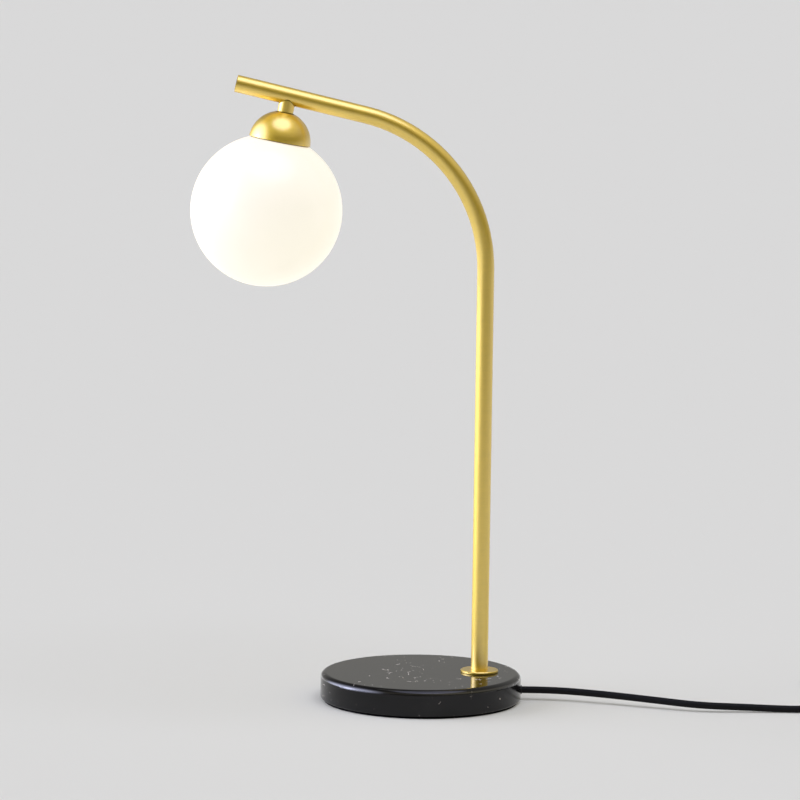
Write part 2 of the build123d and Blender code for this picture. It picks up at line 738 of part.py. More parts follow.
def switch_upper():
    shell = Pos(0, 0, SPLIT_Z) * extrude(shell_outline(), SWITCH_H - SPLIT_Z)
    shell = fillet(shell.edges().group_by(Axis.Z)[-1], SHELL_ROUND)
    shell -= rocker_window()
    shell -= trunnions(TRUNNION_R + TRUNNION_PLAY, TRUNNION_END_GAP)
    hole_top = SPLIT_Z + SWITCH_SCREW_IN + SCREW_END_GAP
    for spot in screw_spots():
        shell -= spot * disc(SWITCH_SCREW_R + SCREW_FIT, SPLIT_Z, hole_top)
    return SWITCH * (shell - cord_sockets())


def switch_rocker():
    """Rocker with a hollow V back and round ends, tipped to its lit side."""
    edge = math.radians(ROCKER_EDGE)
    corner = (ROCKER_R * math.cos(edge), ROCKER_R * math.sin(edge))
    foot_x = math.sqrt(ROCKER_R**2 - ROCKER_FOOT**2)
    right = ThreePointArc((foot_x, -ROCKER_FOOT), (ROCKER_R, 0), corner)
    left = ThreePointArc((-corner[0], corner[1]), (-ROCKER_R, 0), (-foot_x, -ROCKER_FOOT))
    back = ThreePointArc(corner, (0, ROCKER_DIP), (-corner[0], corner[1]))
    base = Line((-foot_x, -ROCKER_FOOT), (foot_x, -ROCKER_FOOT))
    side = make_face([*right.edges(), *back.edges(), *left.edges(), *base.edges()])
    body = extrude(Plane.XZ * side, ROCKER_W / 2, both=True)
    body += Rot(90, 0, 0) * Cylinder(TRUNNION_R, ROCKER_W + 2 * TRUNNION_L)
    return SWITCH * (Pos(0, 0, PIVOT_Z) * (Rot(0, ROCKER_TIP, 0) * body))


def switch_contacts():
    """Two brass terminal strips on the floor of the lower shell."""
    strip = block(CONTACT_L, CONTACT_W, SHELL_FLOOR, SHELL_FLOOR + CONTACT_T)
    tab = block(CONTACT_TAB_L, CONTACT_W, SHELL_FLOOR, SHELL_FLOOR + CONTACT_TAB_H)
    strip += Pos((CONTACT_L - CONTACT_TAB_L) / 2, 0, 0) * tab
    x, y = CONTACT_AT
    return SWITCH * (Pos(-x, -y, 0) * strip + Pos(x, y, 0) * (Rot(0, 0, 180) * strip))


def switch_screws():
    """Two screws from beneath, their heads sunk in the lower shell."""
    low = SWITCH_SCREW_SINK - SWITCH_SCREW_HEAD_T
    shank = disc(SWITCH_SCREW_R, SWITCH_SCREW_SINK, SPLIT_Z + SWITCH_SCREW_IN)
    slot = block(2 * SWITCH_SCREW_HEAD_R + 1, SWITCH_SLOT_W, low - 1, low + SWITCH_SLOT_T)
    pair = None
    for spot in screw_spots():
        screw = disc(SWITCH_SCREW_HEAD_R, low, SWITCH_SCREW_SINK) + shank - slot
        pair = spot * screw if pair is None else pair + spot * screw
    return SWITCH * pair


# ---------------------------------------------------------------- plug
def plug_outline():
    """Half outline of the plug from above, from the relief's end to the face."""
    start, end = RELIEF_L, RELIEF_L + PLUG_L
    neck, face = PLUG_NECK_W / 2, PLUG_FACE_W / 2
    flank = end - PLUG_STRAIGHT
    waist = ((start + end) / 2, (neck + face) / 2 - PLUG_WAIST)
    upper = ThreePointArc((start, neck), waist, (flank, face))
    lower = ThreePointArc((flank, -face), (waist[0], -waist[1]), (start, -neck))
    edges = [*upper.edges(), *Line((flank, face), (end, face)).edges()]
    edges += [*Line((end, face), (end, -face)).edges()]
    edges += [*Line((end, -face), (flank, -face)).edges(), *lower.edges()]
    edges += [*Line((start, -neck), (start, neck)).edges()]
    return make_face(edges)


def pin_spots():
    return [Pos(RELIEF_L + PLUG_L, side * PLUG_PIN_APART / 2, 0) for side in (-1, 1)]


def plug_body():
    """Flat moulded body with bevelled sides and a ribbed, tapering relief."""
    body = extrude(plug_outline(), PLUG_T / 2, both=True)
    rims = body.edges().group_by(Axis.Z)
    body = chamfer(rims[0] + rims[-1], PLUG_BEVEL)
    corners = [(0, 0), (RELIEF_END_R, 0)]
    step = RELIEF_L / RELIEF_RIBS
    for k in range(RELIEF_RIBS):
        low = RELIEF_END_R + (RELIEF_R - RELIEF_END_R) * k / RELIEF_RIBS
        high = RELIEF_END_R + (RELIEF_R - RELIEF_END_R) * (k + 1) / RELIEF_RIBS
        rib_end = (k + RIB_SHARE) * step
        corners += [(low + RELIEF_SWELL, rib_end), (high - RELIEF_CUT, rib_end)]
        corners += [(high - RELIEF_CUT, (k + 1) * step)]
        if k < RELIEF_RIBS - 1:
            corners += [(high, (k + 1) * step)]
    corners += [(RELIEF_R - RELIEF_CUT, RELIEF_L + 1), (0, RELIEF_L + 1)]
    body += Rot(0, 90, 0) * revolved(corners)
    body -= along_x(CORD_R + CORD_PLAY, 0, SOCKET_L)
    for spot in pin_spots():
        body -= spot * along_x(PLUG_PIN_R, -PLUG_PIN_IN, 0)
    return PLUG * body


def plug_pins():
    waist_r = PLUG_PIN_R - SLEEVE_STEP - SLEEVE_T
    pair = None
    for spot in pin_spots():
        pin = along_x(PLUG_PIN_R, -PLUG_PIN_IN, PLUG_PIN_L)
        pin = chamfer(pin.edges().sort_by(Axis.X)[-1], PLUG_PIN_BEVEL)
        pin -= along_x(PLUG_PIN_R, 0, SLEEVE_L) - along_x(waist_r, 0, SLEEVE_L)
        pair = spot * pin if pair is None else pair + spot * pin
    return PLUG * pair


def plug_sleeves():
    """Insulating sleeves round the first half of the pins."""
    outer_r = PLUG_PIN_R - SLEEVE_STEP
    pair = None
    for spot in pin_spots():
        sleeve = along_x(outer_r, 0, SLEEVE_L) - along_x(outer_r - SLEEVE_T, 0, SLEEVE_L)
        pair = spot * sleeve if pair is None else pair + spot * sleeve
    return PLUG * pair


# ---------------------------------------------------------------- build and write
RUN, RUN_L = cord_stretch("cord_run", RUN_ROUTE)
LINK, LINK_L = cord_stretch("cord_link", LINK_ROUTE)
TAIL, TAIL_L = cord_stretch("cord_tail", tail_route())
COIL, COIL_L = cord_coil()
THROUGH_SWITCH = SWITCH_L - 2 * SOCKET_L
print(f"whole cord {RUN_L + LINK_L + TAIL_L + COIL_L + THROUGH_SWITCH:.1f} mm")

PIECES = {
    "marble_base": marble_base(),
    "base_pad": base_pad(),
    "stem_flange": stem_flange(),
    "foot_insert": foot_insert(),
    "foot_nipple": foot_nipple(),
    "foot_washer": foot_washer(),
    "foot_lock_washer": foot_lock_washer(),
    "foot_nut": foot_nut(),
    "cord_bushing": cord_bushing(),
    "stem_tube": stem_tube(),
    "tube_end_cap": tube_end_cap(),
    "inner_cores": inner_cores(),
    "head_connector": head_connector(),
    "head_nipple": head_nipple(),
    "dome_cap": dome_cap(),
    "gallery_spacer": gallery_spacer(),
    "gallery_cup": gallery_cup(),
    "gallery_nut": gallery_nut(),
    "lampholder_cap": lampholder_cap(),
    "lampholder_screws": lampholder_screws(),
    "lampholder_body": lampholder_body(),
    "bulb_base": bulb_base(),
    "bulb_pins": bulb_pins(),
    "bulb_cover": bulb_cover(),
    "bulb_post": bulb_post(),
    "globe_glass": globe_glass(),
    "globe_gasket": globe_gasket(),
    "cord_run": RUN,
    "cord_link": LINK,
    "cord_tail": TAIL,
    "cord_coil": COIL,
    "coil_tie": coil_tie(),
    "switch_lower": switch_lower(),
    "switch_upper": switch_upper(),
    "switch_rocker": switch_rocker(),
    "switch_contacts": switch_contacts(),
    "switch_screws": switch_screws(),
    "plug_body": plug_body(),
    "plug_pins": plug_pins(),
    "plug_sleeves": plug_sleeves(),
}

os.makedirs("parts", exist_ok=True)
for name, shape in PIECES.items():
    export_step(shape, f"parts/{name}.step")
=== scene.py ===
import math

import bpy
from mathutils import Matrix, Vector


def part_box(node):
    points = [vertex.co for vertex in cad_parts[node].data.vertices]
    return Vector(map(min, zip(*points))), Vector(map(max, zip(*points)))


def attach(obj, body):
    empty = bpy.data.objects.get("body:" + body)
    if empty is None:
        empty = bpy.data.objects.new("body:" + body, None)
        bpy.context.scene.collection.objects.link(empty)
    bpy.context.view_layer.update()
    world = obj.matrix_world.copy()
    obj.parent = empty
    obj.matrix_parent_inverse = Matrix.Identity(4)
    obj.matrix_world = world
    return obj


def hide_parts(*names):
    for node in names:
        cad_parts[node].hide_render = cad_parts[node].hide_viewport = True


bl_info = {
    "name": "Globe table lamp",
    "version": (1, 0, 0),
    "blender": (4, 5, 0),
    "location": "View3D > Sidebar > Lamp",
    "description": "Gives a globe table lamp its finishes, cord, light and camera",
    "category": "Object",
}

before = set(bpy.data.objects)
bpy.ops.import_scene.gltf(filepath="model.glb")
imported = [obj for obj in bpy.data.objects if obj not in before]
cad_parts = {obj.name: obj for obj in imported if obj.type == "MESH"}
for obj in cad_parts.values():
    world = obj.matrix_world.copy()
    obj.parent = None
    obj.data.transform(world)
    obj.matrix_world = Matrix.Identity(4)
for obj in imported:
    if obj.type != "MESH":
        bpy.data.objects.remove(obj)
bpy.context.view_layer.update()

STONE_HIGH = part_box("marble_base")[1]
TUBE_LOW, TUBE_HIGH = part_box("stem_tube")
TUBE_R = (TUBE_HIGH.y - TUBE_LOW.y) / 2
FLANGE_LOW, FLANGE_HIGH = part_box("stem_flange")
STEM_X = (FLANGE_LOW.x + FLANGE_HIGH.x) / 2

# The bent tube's axis, and the head's axis down from the arm, in metres
ARM_RISE = math.radians(13.1)  # the arm above level
BEND_SWEEP = math.pi / 2 - ARM_RISE
BEND_R = 0.125
BEND_Z = 0.345  # height where the bend starts
ARM_L = 0.1045  # straight arm, from the bend to the tip
HEAD_BACK = 0.042  # from the arm's tip back to the head's axis
HEAD_TILT = math.radians(10.4)  # the head's axis from the vertical
CAP_SEAT = 0.01314  # from the arm's axis down to the cap's seat on the neck
CAP_RIM = 0.0362  # from the arm's axis down to the cap's rim
ARM_DIR = Vector((-math.cos(ARM_RISE), 0.0, math.sin(ARM_RISE)))
CORNER = Vector((STEM_X, 0.0, BEND_Z + BEND_R * math.tan(BEND_SWEEP / 2)))
HEAD_AT = CORNER + ARM_DIR * (BEND_R * math.tan(BEND_SWEEP / 2) + ARM_L - HEAD_BACK)
HEAD_AXIS = Vector((-math.sin(HEAD_TILT), 0.0, -math.cos(HEAD_TILT)))


# -------------------------------------------------- sizes and colours a user may change
def length(name, text, default):
    """A size in metres."""
    return bpy.props.FloatProperty(
        name=name, description=text, default=default, subtype="DISTANCE", unit="LENGTH"
    )


def angle(name, text, degrees):
    """An angle, shown in degrees."""
    return bpy.props.FloatProperty(
        name=name,
        description=text,
        default=math.radians(degrees),
        subtype="ANGLE",
        unit="ROTATION",
    )


def share(name, text, default, top=1.0):
    """A plain number from 0 up to a limit."""
    return bpy.props.FloatProperty(
        name=name, description=text, default=default, min=0.0, max=top
    )


def colour(name, text, default):
    """A linear colour."""
    return bpy.props.FloatVectorProperty(
        name=name,
        description=text,
        default=default,
        size=3,
        min=0.0,
        soft_max=1.0,
        subtype="COLOR",
    )


class StageSettings(bpy.types.PropertyGroup):
    """Camera, floor and light."""

    camera_lens: bpy.props.FloatProperty(
        name="Lens",
        description="Focal length on a sensor 36 mm wide",
        default=180.0,
        subtype="DISTANCE_CAMERA",
    )
    camera_turn: angle("Turn", "Camera's turn about the lamp, from straight in front", -4.9241)
    camera_pitch: angle("Pitch", "How far the camera looks down", 6.8591)
    camera_roll: angle("Roll", "Camera's roll about its own axis", 0.7727)
    camera_distance: length("Distance", "Camera to the point it looks at", 3.170383)
    aim_across: length("Aim across", "Point looked at, sideways from the base's axis", -0.0195545)
    aim_height: length("Aim height", "Point looked at, above the table", 0.2412206)
    floor_half: length("Floor half size", "Half the side of the floor", 60.0)
    floor_colour: colour("Floor", "Colour of the table and the backdrop", (0.674, 0.665, 0.560))
    floor_lift: share("Floor lift", "Part of the floor's brightness that no shadow takes away", 0.1)
    horizon_light: share(
        "Horizon light", "Brightness of the surroundings level with the table", 0.694, 5.0
    )
    back_light: share(
        "Back light", "Brightness a little above the table, behind the lamp", 0.415, 5.0
    )
    front_light: share(
        "Front light", "Brightness a little above the table, before the lamp", 0.03, 5.0
    )
    upper_light: share("Upper light", "Brightness high above the lamp", 0.20, 5.0)
    right_light: share("Right light", "Extra brightness high on the right", 0.42, 5.0)
    floor_left: share(
        "Floor on the left", "How much brighter polished pieces see the floor on the left", 0.50
    )
    floor_front: share(
        "Floor in front", "How much darker polished pieces see the floor's front", 0.7
    )
    key_light: share("Key light", "Brightness of the soft light on the left", 2.9, 20.0)
    key_core: share("Key core", "Extra brightness in the middle of that light", 4.0, 40.0)
    key_turn: angle(
        "Key turn", "The soft light's direction, from the camera's side to the left", 91.0
    )
    key_height: angle("Key height", "The soft light's height above the table", 9.0)
    key_reach: angle("Key reach", "From the soft light's middle to where it has faded out", 50.0)
    core_reach: angle(
        "Core reach", "From the middle to where the extra brightness has faded out", 13.0
    )
    top_power: share("Top power", "Strength of the soft light overhead", 1.20, 20.0)
    top_spread: angle("Top spread", "How wide the overhead light looks", 54.0)
    top_turn: angle(
        "Top turn", "The overhead light's direction, from the camera's side to the right", 25.1
    )
    top_height: angle("Top height", "The overhead light's height above the table", 74.0)
    cool: colour("Cool light", "Tint of the two soft lights", (0.96, 1.0, 1.36))
    warm: colour("Warm surroundings", "Tint of the dim surroundings", (1.0, 0.905, 0.63))


class MetalSettings(bpy.types.PropertyGroup):
    """Brass, steel, nickel and the plug in the arm's end."""

    satin_colour: colour(
        "Satin brass", "Colour of the satin brass that shows", (0.96, 0.668, 0.029)
    )
    satin_roughness: share("Satin roughness", "How satin the brass is", 0.46)
    lacquer: share("Lacquer", "Strength of the clear lacquer over the brass", 1.0)
    lacquer_roughness: share("Lacquer roughness", "How matt the lacquer is", 0.27)
    lacquer_ior: share("Lacquer index", "Refractive index of the lacquer", 2.38, 4.0)
    plug_colour: colour(
        "End plug", "Colour of the dark plug in the arm's end", (0.035, 0.024, 0.010)
    )
    plain_colour: colour("Turned brass", "Colour of the turned brass inside", (0.78, 0.58, 0.26))
    steel_colour: colour("Zinc steel", "Colour of the zinc-plated steel", (0.60, 0.61, 0.63))
    nickel_colour: colour("Nickel", "Colour of the bright nickel plating", (0.76, 0.74, 0.69))
    # The joint line is painted shade: the brass is darkened where two pieces meet.
    joint: length("Joint line", "Half the width of the dark line where two pieces meet", 0.0003)
    ring_pitch: length("Polishing pitch", "Distance between the fine polishing lines", 0.0006)


class StoneSettings(bpy.types.PropertyGroup):
    """Polished black marble."""

    ground: colour("Ground", "Black ground of the stone", (0.0015, 0.0014, 0.0021))
    cloud: colour("Cloud", "Slightly lighter clouds in the stone", (0.0068, 0.0064, 0.0072))
    fleck: colour("Fleck", "Cream flecks and short veins", (0.62, 0.56, 0.48))
    fleck_size: length("Fleck spacing", "Typical distance between flecks", 0.0060)
    fleck_score: share("Fleck score", "What a fleck has to score to show. Less shows more", 0.84)
    side_depth: length("Side", "From the top down to where the side's own flecks start", 0.0050)
    vein_size: length("Vein spacing", "Typical distance between hair veins", 0.0080)
    warp: length("Warp", "How far flecks and veins are bent", 0.0035)
    polish: share("Polish", "Roughness of the polished top", 0.055)
    edge_roughness: share("Honed edge", "How much rougher the rim and the side are", 0.07)
    ior: share("Index", "Refractive index of the stone", 1.38, 4.0)
    rim_height: length("Rim height", "Height of the rounded rim", 0.0045)
    rim_gloss: share("Rim gloss", "Strength of the wax on the rim's lower part", 1.0)
    rim_roughness: share("Rim roughness", "How matt the wax is", 0.17)
    rim_ior: share("Rim index", "Refractive index of the wax", 1.8, 4.0)
    band_at: bpy.props.FloatVectorProperty(
        name="Fleck band",
        description="Middle of the band where flecks gather",
        default=(-0.015, 0.0, 0.024),
        size=3,
        subtype="TRANSLATION",
        unit="LENGTH",
    )


class GlobeSettings(bpy.types.PropertyGroup):
    """Lit opal glass."""

    glass: colour("Glass", "Colour of the opal glass when unlit", (0.465, 0.458, 0.443))
    glow: colour("Glow", "Colour of the light through the glass", (0.710, 0.662, 0.535))
    # Painted shade: the shaded glow and the shaded glass dim the globe under the cap's rim.
    shaded: colour("Shaded glow", "Dim glow of the glass under the cap", (0.10, 0.065, 0.03))
    shaded_glass: colour("Shaded glass", "Colour of the glass under the cap", (0.20, 0.165, 0.105))


class SoftSettings(bpy.types.PropertyGroup):
    """Cord, mouldings, felt, ceramic and the bulb."""

    cord_diameter: length("Cord diameter", "Thickness of the mains cord", 0.0056)
    cord_colour: colour("Cord", "Colour of the cord's jacket", (0.0055, 0.0055, 0.0058))
    moulded_colour: colour(
        "Moulded black", "Colour of the switch and the plug", (0.012, 0.012, 0.0125)
    )
    rubber_colour: colour("Rubber", "Colour of the bushing", (0.005, 0.005, 0.005))
    felt_colour: colour("Felt", "Colour of the pad under the stone", (0.0025, 0.0025, 0.0025))
    silicone_colour: colour("Silicone", "Colour of the globe's sealing ring", (0.80, 0.79, 0.75))
    ceramic_colour: colour("Ceramic", "Colour of the lampholder", (0.88, 0.86, 0.81))
    speck_colour: colour("Ceramic speck", "Colour of its specks", (0.42, 0.36, 0.28))
    bulb_colour: colour("Bulb", "Colour of the bulb's frosted cover", (0.92, 0.90, 0.86))
    bulb_base_colour: colour("Bulb base", "Colour of the bulb's base", (0.82, 0.81, 0.78))
    sheath_colour: colour("Wire sheath", "Colour of the wires' sheath", (0.12, 0.05, 0.025))


SETTINGS = {
    "lamp_stage": StageSettings,
    "lamp_metal": MetalSettings,
    "lamp_stone": StoneSettings,
    "lamp_globe": GlobeSettings,
    "lamp_soft": SoftSettings,
}


# -------------------------------------------------- shader expressions
class Wire:
    """A node's output. Arithmetic on it adds the Math nodes that work it out."""

    def __init__(self, finish, socket):
        self.finish = finish
        self.socket = socket

    def combine(self, operation, first, second=None):
        values = {0: first} if second is None else {0: first, 1: second}
        return self.finish.node("ShaderNodeMath", {"operation": operation}, values)

    def __add__(self, other):
        return self.combine("ADD", self, other)

    def __radd__(self, other):
        return self.combine("ADD", other, self)

    def __sub__(self, other):
        return self.combine("SUBTRACT", self, other)

    def __rsub__(self, other):
        return self.combine("SUBTRACT", other, self)

    def __mul__(self, other):
        return self.combine("MULTIPLY", self, other)

    def __truediv__(self, other):
        return self.combine("DIVIDE", self, other)

    def __gt__(self, other):
        return self.combine("GREATER_THAN", self, other)

    def at_least(self, other):
        return self.combine("MAXIMUM", self, other)

    def at_most(self, other):
        return self.combine("MINIMUM", self, other)

    def sine(self):
        return self.combine("SINE", self)

    def turn_from(self, other):
        """The angle whose tangent is this over the other."""
        return self.combine("ARCTAN2", self, other)

    def between(self, low, high):
        """0 at low, 1 at high, smooth between them and flat outside."""
        settings = {"interpolation_type": "SMOOTHSTEP"}
        values = {0: self, 1: low, 2: high, 3: 0.0, 4: 1.0}
        return self.finish.node("ShaderNodeMapRange", settings, values)


class Finish:
    """A material or a world, built node by node."""

    def __init__(self, owner):
        owner.use_nodes = True
        self.owner = owner
        self.tree = owner.node_tree
        self.tree.nodes.clear()

    def node(self, kind, settings=None, values=None, output=0):
        """Adds a node: its settings, then its sockets' values or links. Returns one output."""
        made = self.tree.nodes.new(kind)
        for key, value in (settings or {}).items():
            setattr(made, key, value)
        for key, value in (values or {}).items():
            if isinstance(value, Wire):
                self.tree.links.new(value.socket, made.inputs[key])
            else:
                made.inputs[key].default_value = value
        return Wire(self, made.outputs[output]) if made.outputs else made

    def mix(self, factor, first, second):
        """Between two colours: the first at factor 0, the second at factor 1."""
        values = {0: factor, 6: opaque(first), 7: opaque(second)}
        settings = {"data_type": "RGBA", "clamp_factor": True}
        return self.node("ShaderNodeMix", settings, values, output=2)

    def place(self):
        """Position on the piece, in metres in the lamp's frame."""
        return self.node("ShaderNodeTexCoord", output="Object")

    def split(self, vector):
        """The three parts of a vector or a colour."""
        made = self.tree.nodes.new("ShaderNodeSeparateXYZ")
        self.tree.links.new(vector.socket, made.inputs[0])
        return [Wire(self, socket) for socket in made.outputs]

    def join(self, x, y, z):
        return self.node("ShaderNodeCombineXYZ", values={0: x, 1: y, 2: z})

    def vectors(self, operation, first, second=None, output="Vector"):
        """A Vector Math node. Its number comes from the output named Value."""
        values = {0: first} if second is None else {0: first, 1: second}
        return self.node("ShaderNodeVectorMath", {"operation": operation}, values, output)

    def stretched(self, vector, scale):
        """The vector times the scale, part by part."""
        return self.vectors("MULTIPLY", vector, scale)

    def distance(self, vector, spot):
        return self.vectors("DISTANCE", vector, spot, "Value")

    def along(self, vector, direction):
        """How far the vector reaches in a direction of length 1."""
        return self.vectors("DOT_PRODUCT", vector, direction, "Value")

    def distance_from_line(self, vector, spot, direction):
        """Distance from the straight line through the spot."""
        across = self.vectors("CROSS_PRODUCT", self.vectors("SUBTRACT", vector, spot), direction)
        return self.vectors("LENGTH", across, output="Value")

    def cells(self, vector, size, output="Distance", feature="F1"):
        """Cells of a given size in metres: the distance in them, in cells, or their colours."""
        values = {"Vector": vector, "Scale": 1.0 / size, "Randomness": 1.0}
        return self.node("ShaderNodeTexVoronoi", {"feature": feature}, values, output)

    def noise(self, vector, size, detail=2.0, roughness=0.5, output=0):
        """Noise of a given feature size in metres, from 0 to 1."""
        values = {"Vector": vector, "Scale": 1.0 / size, "Detail": detail, "Roughness": roughness}
        return self.node("ShaderNodeTexNoise", values=values, output=output)

    def bump(self, height, depth):
        """A surface relief of that depth in metres."""
        values = {"Strength": 1.0, "Distance": depth, "Height": height}
        return self.node("ShaderNodeBump", values=values)

    def shader(self, **values):
        """The Principled shader. coat_ior sets the socket Coat IOR, and so on."""
        sockets = {}
        for key, value in values.items():
            sockets[key.replace("_", " ").title().replace("Ior", "IOR")] = opaque(value)
        return self.node("ShaderNodeBsdfPrincipled", values=sockets)

    def show(self, shader):
        """Sends the shader to the material's output and returns the material."""
        self.node("ShaderNodeOutputMaterial", values={"Surface": shader})
        return self.owner

    def surface(self, **values):
        """Shows the Principled shader on its own."""
        return self.show(self.shader(**values))


def new_finish(name):
    return Finish(bpy.data.materials.new(name))


def opaque(value):
    """A colour of three parts with alpha 1. Anything else stays as it is."""
    return (*value, 1.0) if hasattr(value, "__len__") and len(value) == 3 else value


def scaled(factor, tone):
    """A colour made darker or lighter."""
    return tuple(factor * c for c in tone)


def brighter(factor, tone):
    """A colour made lighter, up to white."""
    return tuple(min(1.0, factor * c) for c in tone)


# -------------------------------------------------- finishes
SMALL_TURN = 0.001  # radians before the bend's end that count as the straight arm


def run_along_tube(finish):
    """Distance along the bent tube's axis from where the bend starts, and place across it."""
    x, y, z = finish.split(finish.place())
    centre_x = STEM_X - BEND_R
    across = x - centre_x
    up = z - BEND_Z
    turned = up.turn_from(across).at_least(0.0).at_most(BEND_SWEEP)
    arm_x = centre_x + BEND_R * math.cos(BEND_SWEEP)
    arm_z = BEND_Z + BEND_R * math.sin(BEND_SWEEP)
    on_arm = (arm_x - x) * math.cos(ARM_RISE) + (z - arm_z) * math.sin(ARM_RISE)
    beyond = on_arm.at_least(0.0) * (turned > BEND_SWEEP - SMALL_TURN)
    return up.at_most(0.0) + turned * BEND_R + beyond, y


def below_arm(finish):
    """Distance along the head's axis, down from the arm's axis, in metres."""
    return finish.along(finish.place(), HEAD_AXIS) - HEAD_AT.dot(HEAD_AXIS)


def away_from(distance, joint, metal):
    """0 on the painted shade line at a joint, 1 past it."""
    return distance.between(joint + metal.joint, joint + 2 * metal.joint)


def tube_lines(finish, metal):
    """Along and around the bent tube, whose own ends show no joint."""
    along, around = run_along_tube(finish)
    return along, around, None


def head_lines(finish, metal):
    """Along and around the head, with a painted shade line at the arm and at the cap's seat."""
    x, y = finish.split(finish.place())[:2]
    along = below_arm(finish)
    above = along.between(CAP_SEAT - 2 * metal.joint, CAP_SEAT - metal.joint)
    seat = above * (1.0 - away_from(along, CAP_SEAT, metal))
    from_arm = finish.distance_from_line(finish.place(), HEAD_AT, ARM_DIR)
    return along, x + y, (1.0 - seat) * away_from(from_arm, TUBE_R, metal)


def flange_lines(finish, metal):
    """Along and around the flange, with a painted shade line on the stone."""
    x, y, z = finish.split(finish.place())
    return z, x + y, away_from(z, FLANGE_LOW.z, metal)


AROUND_SHARE = 0.02  # how little the polishing lines change around the piece
JOINT_SHADE = 0.25  # brightness left in the painted shade line at a joint


def satin_brass(name, lines, metal):
    """Satin brass under clear lacquer. The lines say how it is polished and where painted shade,
    with no lacquer, darkens a thin line at its joints.
    """
    finish = new_finish(name)
    along, around, out_of_joint_shade = lines(finish, metal)
    drawn = finish.join(along, around * AROUND_SHARE, 0.0)
    fine = finish.noise(drawn, size=metal.ring_pitch, detail=3.0, roughness=0.65)
    broad = finish.noise(finish.place(), size=0.030)
    wear = finish.noise(finish.place(), size=0.007, detail=4.0, roughness=0.6)
    base = metal.satin_colour
    worn = (fine * 0.4 + wear * 0.6).between(0.3, 0.7)
    shade = finish.mix(worn, scaled(0.96, base), brighter(1.03, base))
    # Painted shade: a thin line where two pieces meet is darkened and loses its lacquer.
    if out_of_joint_shade is not None:
        shade = finish.mix(out_of_joint_shade, scaled(JOINT_SHADE, base), shade)
    return finish.surface(
        base_color=shade,
        metallic=1.0,
        roughness=metal.satin_roughness + (fine - 0.5) * 0.04 + (broad - 0.5) * 0.04,
        normal=finish.bump(fine, depth=0.0000015),
        coat_weight=metal.lacquer if out_of_joint_shade is None else out_of_joint_shade * metal.lacquer,
        coat_roughness=metal.lacquer_roughness,
        coat_ior=metal.lacquer_ior,
    )


def turned_brass(metal):
    """Plain turned brass, bright, with fine tool lines."""
    finish = new_finish("turned_brass")
    x, y, z = finish.split(finish.place())
    lines = finish.noise(finish.join(x * 0.1, y * 0.1, z), size=0.0004)
    stain = finish.noise(finish.place(), size=0.006, detail=3.0)
    base = metal.plain_colour
    shade = finish.mix(stain.between(0.35, 0.75), base, scaled(0.8, base))
    return finish.surface(
        base_color=shade,
        metallic=1.0,
        roughness=0.24 + (lines - 0.5) * 0.12,
        normal=finish.bump(lines, depth=0.000008),
    )


YELLOWED = (0.92, 0.88, 0.78)  # what hazy spots keep of the zinc's red, green and blue


def zinc_steel(metal):
    """Zinc-plated steel: pale, a little mottled."""
    finish = new_finish("zinc_steel")
    mottle = finish.split(finish.cells(finish.place(), size=1 / 700, output="Color"))[0]
    haze = finish.noise(finish.place(), size=0.004, detail=3.0)
    base = metal.steel_colour
    yellowed = tuple(part * kept for part, kept in zip(base, YELLOWED))
    shade = finish.mix(haze.between(0.4, 0.8), base, yellowed)
    roughness = 0.33 + (mottle - 0.5) * 0.10
    return finish.surface(base_color=shade, metallic=1.0, roughness=roughness)


ALONG_PINS = (0.08, 1.0, 1.0)  # draws the scuffs out along the plug's pins


def bright_nickel(metal):
    """Bright nickel plating on the pins of the plug and the bulb."""
    finish = new_finish("bright_nickel")
    drawn = finish.stretched(finish.place(), ALONG_PINS)
    scuff = finish.noise(drawn, size=0.0005)
    base = metal.nickel_colour
    shade = finish.mix(scuff.between(0.3, 0.8), base, scaled(0.86, base))
    roughness = 0.15 + (scuff - 0.5) * 0.10
    return finish.surface(base_color=shade, metallic=1.0, roughness=roughness)


# What adds to a fleck's score, whose own draw is from 0 to 1
BAND_SCORE = 0.25  # in the band where flecks gather
SIDE_SCORE = 0.28  # at the side
SIDE_EVENNESS = 0.6  # how much less flecks gather at the side

# A fleck's looks
FAINTEST = 0.25  # brightness of the faintest, where the brightest has 1
LEAST_REACH = 0.06  # half the width of the smallest, in cells
MORE_REACH = 0.13  # what the largest has more
FLECK_EDGE = (0.55, 1.0)  # where it fades, in shares of that

# Where hair veins show
VEIN_EDGE = (0.010, 0.055)  # from the seam between two cells, in cells
VEIN_PATCHES = (0.575, 0.62)  # in the noise that breaks them
VEIN_GATHERS = (0.56, 0.66)  # in the noise that gathers flecks and veins
BAND_UNBROKEN = 0.03  # what the band adds to the first noise
BAND_GATHERS = 0.3  # and to the second

# Scales along each axis: less than 1 draws out, more than 1 squeezes
LONG_FLECKS = (1.0, 0.4, 1.0)
LONG_VEINS = (1.0, 0.35, 1.0)
BAND_SQUEEZE = (2.4, 1.0, 1.0)

# Fades in the marble, in metres
BAND_EDGE = (0.030, 0.065)  # along the band where flecks gather, from its middle
SIDE_EDGE = 0.001  # where the side's own flecks start
HONED_EDGE = (0.0014, 0.0002)  # below the top, from honed to polished

# Fades of the wax, in shares of the rim's height below the top
WAX_STARTS = (1.0, 0.70)
WAX_ENDS = (0.66, 0.34)


def marble_flecks(finish, stone, bent, gather, band):
    """Short angular flecks, one in a cell: dense where they gather, more even at the side."""
    long = finish.stretched(bent, LONG_FLECKS)
    near = finish.cells(long, stone.fleck_size)
    pick, fade, size = finish.split(finish.cells(long, stone.fleck_size, output="Color"))
    side = STONE_HIGH.z - stone.side_depth
    lower = 1.0 - finish.split(finish.place())[2].between(side - SIDE_EDGE, side)
    gathered = (gather - 0.5) * (1.0 - lower * SIDE_EVENNESS)
    score = pick + gathered + band * BAND_SCORE + lower * SIDE_SCORE
    chosen = (score > stone.fleck_score) * (fade * (1.0 - FAINTEST) + FAINTEST)
    reach = size * size * MORE_REACH + LEAST_REACH
    return (1.0 - (near / reach).between(*FLECK_EDGE)) * chosen


